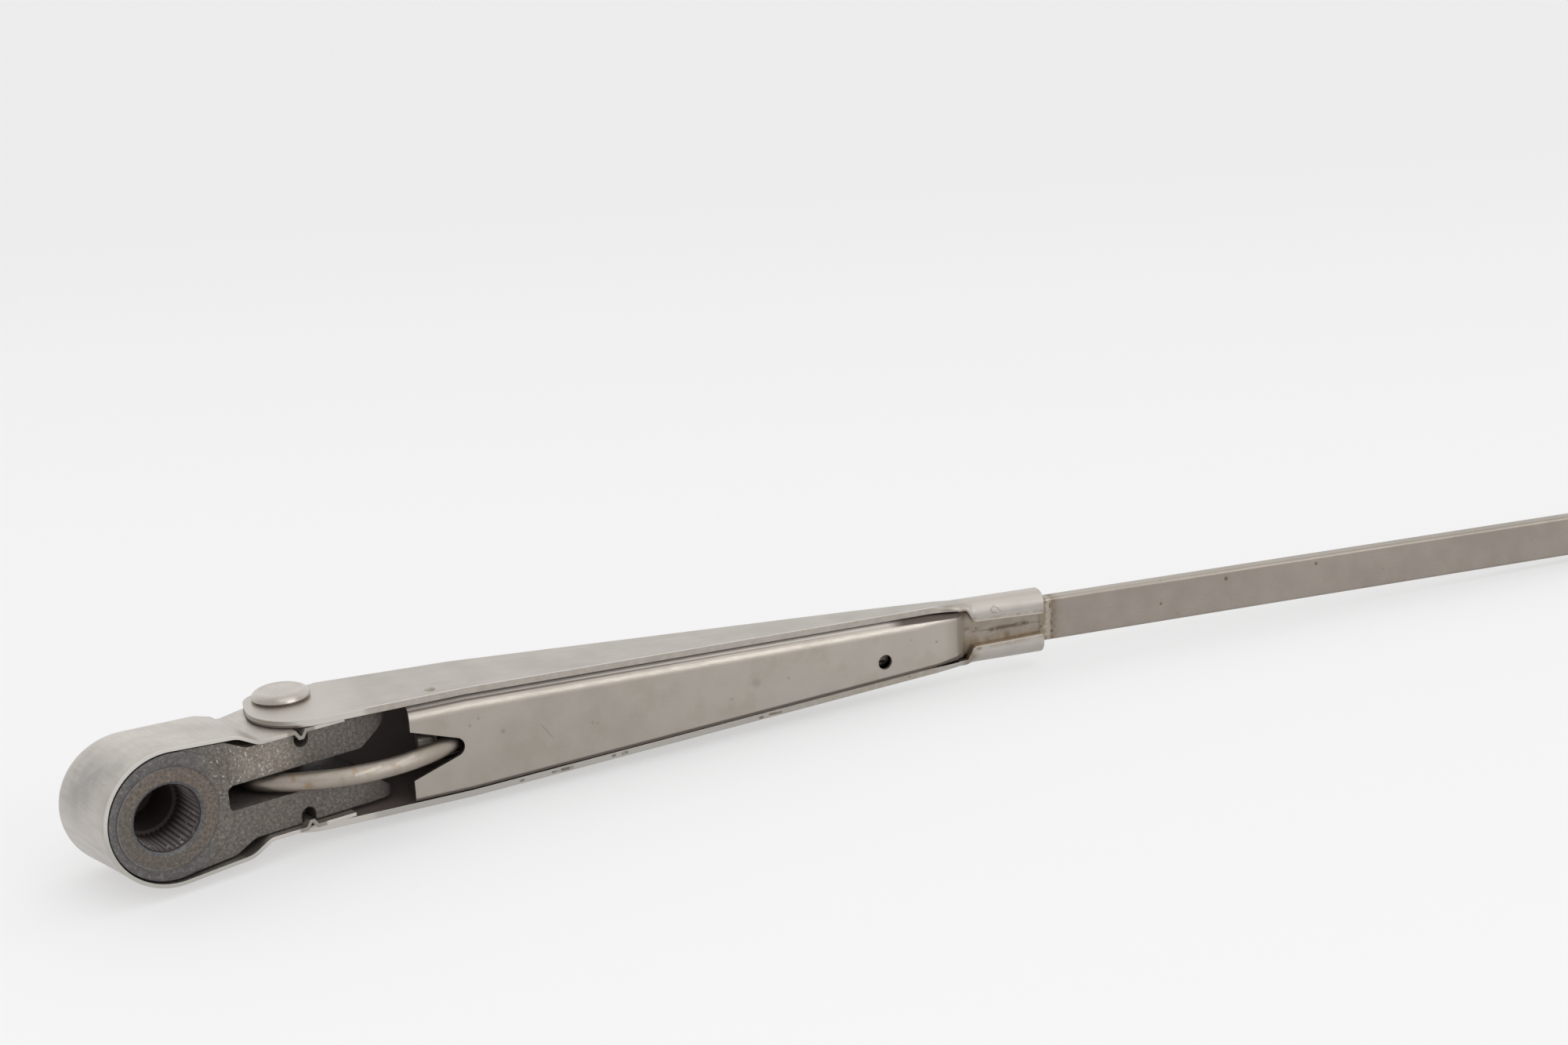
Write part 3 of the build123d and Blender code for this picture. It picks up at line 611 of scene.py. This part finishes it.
def inner_steel():
    """Inner cover: duller satin sheet with a few marks, painted shade in the gaps and behind, painted
    light on the upper bend, brown tongue.
    """
    t = Finish("inner_steel")
    where = t.arm_mm()
    x, y, z = t.axes(where)
    flat = t.face_on(where)
    colour, grain = satin(t, where, INNER_LIGHT, INNER_DARK, ARM_GRAIN)
    colour = t.paint(colour, INNER_FAR, t.ramp(x, 60.0, 124.0), 0.5)
    colour = t.paint(colour, INNER_BLOOM, t.ramp(t.noise(flat, 0.13), 0.52, 0.66), 0.3)
    colour = t.paint(colour, STAIN, specks(t, flat, 1.3, 0.69, 0.75), 0.35)
    for place, reach, strength in INNER_SPOTS:
        colour = t.paint(colour, INNER_SPOT, t.spot(flat, on_front(place), reach), strength)
    scratch = t.stroke(flat, *map(on_front, INNER_SCRATCH_ENDS), 0.2)
    colour = t.paint(colour, INNER_SCRATCH, scratch, 0.5)

    # Brown tongue beyond the step of the dish, with dark lines and stains, painted shade in the dish,
    # and stain with painted shadow under the flaps' lips
    brown = t.noise(where, 0.55)
    tongue = t.ramp(x, TONGUE_START - 1.5, TONGUE_START + 0.3)
    colour = t.paint(colour, TONGUE_FILM, tongue, t.ramp(brown, 0.25, 0.7, 0.3, 0.85))
    colour = t.paint(colour, DISH_SHADE, t.ramp(x, DISH_START - 3.5, DISH_START), 0.3)
    step = t.band(x, DISH_START + 0.4, TONGUE_START - 0.6, 0.5)
    colour = t.paint(colour, DISH_STEP, step, 0.75)
    ragged = t.ramp(t.noise(flat, 1.1, rough=0.65), 0.3, 0.6, 0.35, 1.0)
    for start, end, width, strength in TONGUE_LINES:
        line = t.stroke(flat, on_front(start), on_front(end), width)
        colour = t.paint(colour, TONGUE_LINE, line, ragged, strength)
    # Stain with painted shadow on the tongue under the flaps' lips
    under_lip_stain_shade = t.band(lip_gap(t, x, z), -0.2, 0.6, 0.35)
    under_lip_stain_shade = t.times(under_lip_stain_shade, t.ramp(x, FLAP_START - 1.0, FLAP_START))
    colour = t.paint(colour, STAIN, under_lip_stain_shade, t.ramp(brown, 0.3, 0.6, 0.3, 0.7))
    patchy = t.times(tongue, t.ramp(brown, 0.3, 0.65, 0.3, 0.95))
    for place, reach in TONGUE_STAINS:
        colour = t.paint(colour, STAIN, t.spot(flat, on_front(place), reach), patchy)

    # Painted light on the upper bend, and painted shade in the gaps between this cover and the
    # channel
    inset = wall_inset(t, x, z, SHEET)
    above, below = t.ramp(z, 0.0, 1.0), t.ramp(z, 0.0, -1.0)
    bend_light = t.times(t.ramp(inset, 0.95, 0.7), above, t.ramp(x, 121.0, 116.0))
    colour = t.paint(colour, INNER_BEND_LIGHT, bend_light, 0.48)
    low_seam_shade = t.times(t.ramp(inset, 1.3, 0.95), below)
    high_seam_shade = t.times(t.ramp(inset, 0.14, 0.04), above)
    slope_up = t.math("MULTIPLY_ADD", t.math("SUBTRACT", x, 119.5), 0.05, z)
    upper_slot_shade = t.times(t.ramp(slope_up, 4.65, 4.9), t.ramp(x, 117.0, 121.0))
    slope_low = t.math("MULTIPLY_ADD", t.math("SUBTRACT", x, 122.0), -0.165, z)
    lower_slot_shade = t.times(t.ramp(slope_low, -5.45, -5.7), t.band(x, 121.5, 133.0, 1.5))
    seam_shade = t.most(low_seam_shade, high_seam_shade, upper_slot_shade, lower_slot_shade)
    seam_shade = t.times(seam_shade, t.ramp(x, 133.5, 135.0, 1.0, 0.0))

    # Painted shade on the back and in the peep hole
    behind = t.times(t.ramp(flange_gap(t, x, y), -0.5, -0.25), t.ramp(x, 126.0, 130.0, 1.0, 0.0))
    peep = t.spot(flat, on_front(PEEP), PEEP_RADIUS + 0.12, PEEP_RADIUS + 0.02)
    hollow_shade = t.most(t.times(behind, t.ramp(inset, 0.75, 0.95)), peep)
    colour = t.paint(colour, RECESS_SHADE, hollow_shade)
    colour = t.paint(colour, GAP_SHADE, seam_shade, 0.92)

    # All the painted shade, which also dulls the surface
    painted_shade = t.most(hollow_shade, seam_shade)
    dull = t.times(painted_shade, SHADE_ROUGHNESS)
    roughness = t.math("ADD", t.sheen(grain, *INNER_SHEEN), dull, clamp=True)
    metallic = t.times(
        t.between(painted_shade, 1.0, SHADE_METAL), t.between(bend_light, 1.0, 0.45), t.between(step, 1.0, 0.4)
    )
    fold = t.ramp(x, 127.0, 131.0, EDGE_ROUND, FOLD_ROUND)
    return t.finish(colour, metallic, roughness, grain, SATIN_RELIEF, edge=fold)


def bar_steel():
    """Flat bar: grey-brown rolled steel, painted light on the top face, a crust with brown borders,
    rust specks, and painted shade inside the crimp.
    """
    t = Finish("bar_steel")
    where = t.arm_mm()
    x, _, z = t.axes(where)
    flat = t.face_on(where)
    colour, grain = satin(t, where, BAR_LIGHT, BAR_DARK, (0.05, 3.0, 3.0))
    # Painted light on the top face, fading along the bar
    lit_top = t.ramp(z, BAR_HALF - 0.35, BAR_HALF - 0.1)
    colour = t.paint(colour, BAR_TOP_LIGHT, lit_top, t.ramp(x, 165.0, 225.0, 0.6, 0.15))

    # Tide mark of old water at the crimp, its distance made ragged by a noise
    fine = t.noise(where, 0.9, rough=0.65)
    ragged = t.math("ADD", x, t.ramp(fine, 0.2, 0.8, -0.7, 0.7))
    tide = t.ramp(ragged, CRIMP_END + 1.5, CRIMP_END + 5.5, 1.0, 0.0)
    colour = t.paint(colour, TIDE_MARK, tide, 0.8)
    colour = t.paint(colour, TIDE_FILM, t.ramp(ragged, CRIMP_END + 2.2, CRIMP_END + 1.4), 0.6)
    crust = t.band(ragged, CRIMP_END + 1.5, CRIMP_END + 2.2, 0.35)
    colour = t.paint(colour, PALE_CRUST, crust, t.ramp(fine, 0.35, 0.55, 0.4, 1.0), 0.85)
    outer_border = t.band(ragged, CRIMP_END + 2.5, CRIMP_END + 3.1, 0.3)
    border = t.math("ADD", outer_border, t.band(ragged, CRIMP_END, CRIMP_END + 0.7, 0.3))
    crumbs = t.ramp(t.noise(where, 1.7, 3.0), 0.5, 0.62)
    colour = t.paint(colour, CRUST_BORDER, border, crumbs, 0.9)

    for place, reach in BAR_RUST_SPOTS:
        colour = t.paint(colour, RUST, t.spot(flat, on_front(place), reach), 0.85)
    colour = t.paint(colour, STAIN, specks(t, where, 1.1, 0.68, 0.74), 0.5)
    # Painted shade on the part hidden inside the crimp
    hidden = t.ramp(x, 134.0, 132.0)
    colour = t.paint(colour, RECESS_SHADE, hidden)
    metallic = t.between(hidden, 1.0, SHADE_METAL)
    roughness = t.sheen(grain, *SATIN_SHEEN)
    return t.finish(colour, metallic, roughness, grain, SATIN_RELIEF, edge=BLUNT_EDGE)


def link_steel():
    """Wire link: dull plated steel, warm grey, painted shade below and towards the slot, with brown
    film, rust spots and rubbed streaks painted as highlights.
    """
    t = Finish("link_steel")
    where = t.head_mm()
    _, y, z = t.axes(where)
    flat = t.face_on(where)
    colour, grain = satin(t, where, LINK_LIGHT, LINK_DARK, (0.3, 1.5, 1.5))
    film = t.noise(where, 0.5, rough=0.65)
    colour = t.paint(colour, LINK_FILM, t.ramp(film, 0.48, 0.68), 0.4)
    # Painted shade on the underside
    colour = t.paint(colour, LINK_UNDER_SHADE, t.ramp(z, 0.2, -1.3), 0.45)
    patchy = t.ramp(film, 0.35, 0.6)
    for place, reach in LINK_RUST_SPOTS:
        colour = t.paint(colour, LINK_RUST, t.spot(flat, on_front(place), reach), patchy, 0.7)
    # Rubbed streaks painted as highlights
    for ends in LINK_RUB_HIGHLIGHTS:
        colour = t.paint(colour, LINK_RUB_HIGHLIGHT, t.stroke(flat, *map(on_front, ends), 0.35), 0.4)
    # Painted shade fading in towards the slot
    colour = t.paint(colour, RECESS_SHADE, t.ramp(y, 1.5, 5.0))
    return t.finish(colour, 0.95, t.sheen(grain, 0.4, 0.54), film, (0.05, 0.3), edge=FINE_EDGE)


def rivet_steel():
    """Hinge rivet: dull nickel with faint rings round its axis."""
    t = Finish("rivet_steel")
    where = t.head_mm()
    colour, grain = satin(t, where, RIVET_LIGHT, RIVET_DARK, (1.2, 1.2, 1.2))
    gap = t.vector("DISTANCE", t.from_above(where), HINGE + (0.0,), out=1)
    rings = t.noise(t.add("CombineXYZ", {0: gap}), 1.6, 3.0)
    colour = t.paint(colour, RIVET_RING, t.ramp(rings, 0.45, 0.65), 0.35)
    return t.finish(colour, 1.0, t.sheen(grain, 0.26, 0.36), rings, (0.03, 0.2))


def dark_steel():
    """Hidden pin and coil: oily dark steel."""
    t = Finish("dark_steel")
    colour, grain = satin(t, t.head_mm(), OILY_LIGHT, OILY_DARK, (1.0, 1.0, 1.0))
    return t.finish(colour, 0.9, t.sheen(grain, 0.4, 0.55), grain, (0.03, 0.3), edge=COIL_EDGE)


def cast_metal():
    """Die-cast head: salt-like grain with painted glints, brown film on the pad, greyer ring, painted
    shade in the slot, at the far ends and deep in the bore.
    """
    t = Finish("cast_metal")
    where = t.head_mm()
    x, y, z = t.axes(where)
    radius = t.from_axis(x, z)
    grain = t.noise(where, 1.6, 5.0, 0.72)
    lump = t.noise(where, 0.42)
    coarse = t.ramp(grain, 0.38, 0.66)
    film = t.mix(coarse, *CAST_FILM)
    upper = t.times(t.ramp(x, 10.0, 16.0), t.ramp(z, 1.0, 4.0), t.ramp(x, 27.0, 20.0))
    colour = t.paint(t.mix(coarse, *CAST_GREY), t.mix(coarse, *CAST_UPPER), upper, 0.8)
    colour = t.paint(colour, film, t.ramp(lump, 0.45, 0.65), 0.35)

    # Round the bore: pad, ring with chips, the pad's edge, lighter on the left and darker on the
    # right, and the mouth's chamfer
    pad = t.ramp(radius, PAD_RADIUS - 0.4, PAD_RADIUS - 0.1, 1.0, 0.0)
    shade = t.ramp(t.math("ADD", x, z), -9.0, 4.0, 0.62, 1.0)
    colour = t.paint(colour, t.mix(shade, PAD_SHADE, film), pad, 0.85)
    ring = t.times(t.band(radius, PAD_RADIUS + 0.1, RING_RADIUS, 0.2), t.ramp(x, 9.0, 5.0))
    colour = t.paint(colour, t.mix(coarse, *CAST_RING), ring, 0.75)
    chips = t.ramp(t.noise(where, 0.7, rough=0.7), 0.55, 0.68)
    colour = t.paint(colour, CAST_CHIP, ring, chips, t.ramp(x, 0.0, -6.0), 0.6)
    pad_edge = t.band(radius, PAD_RADIUS - 0.15, PAD_RADIUS + 0.15, 0.25)
    edge_tone = t.mix(t.ramp(x, -3.0, 3.0), PAD_EDGE_LEFT, PAD_EDGE_RIGHT)
    colour = t.paint(colour, edge_tone, pad_edge, t.ramp(lump, 0.35, 0.6, 0.15, 0.5))
    chamfer = t.ramp(radius, BORE_RADIUS + 0.75, BORE_RADIUS + 0.65)
    chamfer = t.times(chamfer, t.band(y, 0.06, 0.6, 0.06))
    colour = t.paint(colour, t.mix(t.ramp(grain, 0.4, 0.6), *CAST_CHAMFER), chamfer, 0.8)

    # Painted glints on bright grains, most of them on the fork's upper prong
    glint = t.ramp(t.noise(where, 1.9, 2.0), 0.60, 0.68)
    glint_zone = t.math("ADD", 0.25, t.spot(where, (15.5, 0.5, 6.4), 9.5, 4.0))
    colour = t.paint(colour, CAST_GLINT, glint, glint_zone, 0.75)

    # Painted shade in the slot, at the fork's far ends and deep in the bore
    slot = t.ramp(t.math("ABSOLUTE", z), SLOT_HALF + 0.05, SLOT_HALF - 0.05)
    slot = t.times(slot, t.ramp(y, 0.9, 3.0), t.ramp(x, SLOT_START - 0.4, SLOT_START))
    far = t.times(t.ramp(x, 33.0, 45.0), 0.85)
    deep = t.times(t.ramp(radius, BORE_RADIUS + 0.1, BORE_RADIUS - 0.1), t.ramp(y, 7.0, 10.0))
    painted_shade = t.most(far, slot, deep)
    colour = t.paint(colour, CAST_SHADE, painted_shade)

    height = t.math("ADD", t.times(grain, 0.6), lump)
    dull = t.times(painted_shade, SHADE_ROUGHNESS)
    roughness = t.math("ADD", t.ramp(lump, 0.3, 0.7, 0.42, 0.58), dull, clamp=True)
    metallic, shine = t.between(painted_shade, 0.35, 0.0), t.between(painted_shade, 0.5, 0.08)
    return t.finish(colour, metallic, roughness, height, (0.12, 0.6), spec=shine, edge=BLUNT_EDGE)


def bore_metal():
    """Worn teeth of the bore: brighter rubbed crests and painted glints near the mouth, painted shade
    deeper inside.
    """
    t = Finish("bore_metal")
    where = t.head_mm()
    x, y, z = t.axes(where)
    crest = t.ramp(t.from_axis(x, z), BORE_RADIUS - 0.05, BORE_RADIUS - TOOTH_HEIGHT + TOOTH_GAP)
    grain = t.noise(where, 2.0, rough=0.65)
    colour = t.mix(crest, TOOTH_ROOT, TOOTH_CREST)
    glint = t.ramp(t.noise(where, 1.0, 2.0, 0.5), 0.6, 0.66)
    colour = t.paint(colour, TOOTH_GLINT, glint, t.ramp(z, 1.0, -3.0), t.ramp(y, 6.0, 4.0))
    # Painted shade deeper in the bore
    colour = t.paint(colour, BORE_DEPTH_SHADE, t.ramp(y, 5.0, 9.6))
    roughness = t.ramp(grain, 0.3, 0.7, 0.28, 0.45)
    return t.finish(colour, 0.6, roughness, grain, (0.08, 0.5), edge=FINE_EDGE)


def table_paper():
    """Pale matt table, darker towards the back; half of what is seen of it is its own light, so that
    shadows stay pale."""
    t = Finish("table_paper")
    x, y, _ = t.axes(t.add("TexCoord", out=3))
    back = t.math("ADD", t.times(x, 0.6), t.times(y, 0.75))
    far = t.ramp(back, -0.1, 0.75, smooth=False)
    paper = t.add("BsdfDiffuse", {"Color": t.mix(far, PAPER_NEAR, PAPER_FAR)})
    glow = t.add("Emission", {"Color": t.mix(far, GLOW_NEAR, GLOW_FAR)})
    ray = t.add("LightPath").node.outputs
    seen = t.most(ray["Is Camera Ray"], ray["Is Glossy Ray"], ray["Is Transmission Ray"])
    t.add("OutputMaterial", {0: t.add("MixShader", {0: t.times(seen, 0.5), 1: paper, 2: glow})})
    return t.material


def give(obj, material):
    obj.data.materials.clear()
    obj.data.materials.append(material)


def placed(name, data):
    """New object in the scene for a mesh, a lamp or a camera."""
    obj = bpy.data.objects.new(name, data)
    bpy.context.scene.collection.objects.link(obj)
    return obj


def grid_mesh(name, points, closed_u):
    """Quad mesh over a grid of points with shape (u, v, 3), joined round in u if it is closed."""
    count_u, count_v = points.shape[:2]
    index = np.arange(count_u * count_v).reshape(count_u, count_v)
    ahead = np.roll(index, -1, axis=0) if closed_u else index[1:]
    here = index if closed_u else index[:-1]
    corners = [here[:, :-1], ahead[:, :-1], ahead[:, 1:], here[:, 1:]]
    quads = np.stack(corners, axis=-1).reshape(-1, 4)
    mesh = bpy.data.meshes.new(name)
    mesh.vertices.add(count_u * count_v)
    mesh.vertices.foreach_set("co", points.reshape(-1).astype(np.float32))
    mesh.loops.add(quads.size)
    mesh.loops.foreach_set("vertex_index", quads.reshape(-1).astype(np.int32))
    mesh.polygons.add(len(quads))
    mesh.polygons.foreach_set("loop_start", np.arange(0, quads.size, 4, dtype=np.int32))
    mesh.update(calc_edges=True)
    mesh.validate()
    return placed(name, mesh)


def bore_teeth():
    """Toothed bore wall: radius = bore radius minus a triangle wave of the angle, along the bore's
    depth; the teeth start low at the mouth and rise to their full height."""
    angle = np.linspace(0.0, 2 * math.pi, TOOTH_COUNT * 4, endpoint=False)
    depth = np.linspace(BORE_CHAMFER, BORE_LENGTH - 0.1, 6)
    wave = 1 - np.abs((angle * TOOTH_COUNT / (2 * math.pi)) % 1.0 * 2 - 1)
    lead_in = np.clip((depth - BORE_CHAMFER) / TOOTH_LEAD_IN, TOOTH_LEAST, 1.0)
    radius = BORE_RADIUS - TOOTH_GAP - TOOTH_HEIGHT * wave[:, None] * lead_in[None, :]
    points = np.empty(radius.shape + (3,))
    points[..., 0] = radius * np.cos(angle)[:, None]
    points[..., 1] = depth[None, :]
    points[..., 2] = radius * np.sin(angle)[:, None]
    return grid_mesh("bore_teeth", points / MM_PER_M, True)


def leaning_table():
    """Table under the head and the bar, wide enough to fill the picture: height = the head's rest
    height plus the lean times the way along x from there."""
    lean = (BAR_REST[1] - HEAD_REST[1]) / (BAR_REST[0] - HEAD_REST[0])
    reach = np.array([-TABLE_REACH, TABLE_REACH])
    points = np.empty((2, 2, 3))
    points[..., 0] = reach[:, None]
    points[..., 1] = reach[None, :]
    points[..., 2] = HEAD_REST[1] / MM_PER_M + lean * (points[..., 0] - HEAD_REST[0] / MM_PER_M)
    return grid_mesh("table", points, False)


def soft_sun(name, toward, strength, spread):
    """Distant lamp that shines along a direction, as wide as a large soft box."""
    lamp = bpy.data.lights.new(name, "SUN")
    lamp.energy = strength
    lamp.angle = math.radians(spread)
    obj = placed(name, lamp)
    back = -np.array(toward, float) / np.linalg.norm(toward)
    right = np.cross((0.0, 1.0, 0.0), back)
    right /= np.linalg.norm(right)
    up = np.cross(back, right)
    turned = np.eye(4)
    turned[:3, :3] = np.column_stack([right, up, back])
    obj.matrix_world = Matrix(turned.tolist())


def studio_sky():
    """World light that grows smoothly along the bright direction."""
    world = bpy.data.worlds.new("studio")
    world.use_nodes = True
    tree = world.node_tree
    around = tree.nodes.new("ShaderNodeTexCoord")
    along = tree.nodes.new("ShaderNodeVectorMath")
    along.operation = "DOT_PRODUCT"
    along.inputs[1].default_value = SKY_TOWARD
    level = tree.nodes.new("ShaderNodeMapRange")
    level.interpolation_type = "SMOOTHSTEP"
    for socket, value in zip(level.inputs[1:5], SKY_LIMITS + SKY_STRENGTHS):
        socket.default_value = value
    background = tree.nodes["Background"]
    background.inputs[0].default_value = SKY_COLOUR
    tree.links.new(around.outputs["Generated"], along.inputs[0])
    tree.links.new(along.outputs[1], level.inputs[0])
    tree.links.new(level.outputs[0], background.inputs[1])
    return world


finishes = {
    "head_casting": cast_metal(),
    "head_cover": cover_steel(),
    "hinge_rivet": rivet_steel(),
    "arm_channel": channel_steel(),
    "spring_cover": inner_steel(),
    "arm_bar": bar_steel(),
    "spring_link": link_steel(),
    "anchor_pin": dark_steel(),
    "tension_spring": dark_steel(),
}
for name, material in finishes.items():
    give(nodes[name], material)

teeth = bore_teeth()
give(teeth, bore_metal())
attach(teeth, "head")

table = leaning_table()
give(table, table_paper())

soft_sun("high_lamp", (-0.1, 0.62, -0.8), 0.45, 60.0)
soft_sun("low_lamp", (-0.265, 0.922, -0.29), 0.5, 34.0)
bpy.context.scene.world = studio_sky()

camera = bpy.data.cameras.new("camera")
camera.sensor_width = SENSOR_WIDTH
camera.lens = LENS
camera.clip_start, camera.clip_end = CLIP
camera_obj = placed("camera", camera)
camera_obj.matrix_world = Matrix(CAMERA_PLACE)
bpy.context.scene.camera = camera_obj
bpy.context.scene.view_settings.view_transform = "Standard"
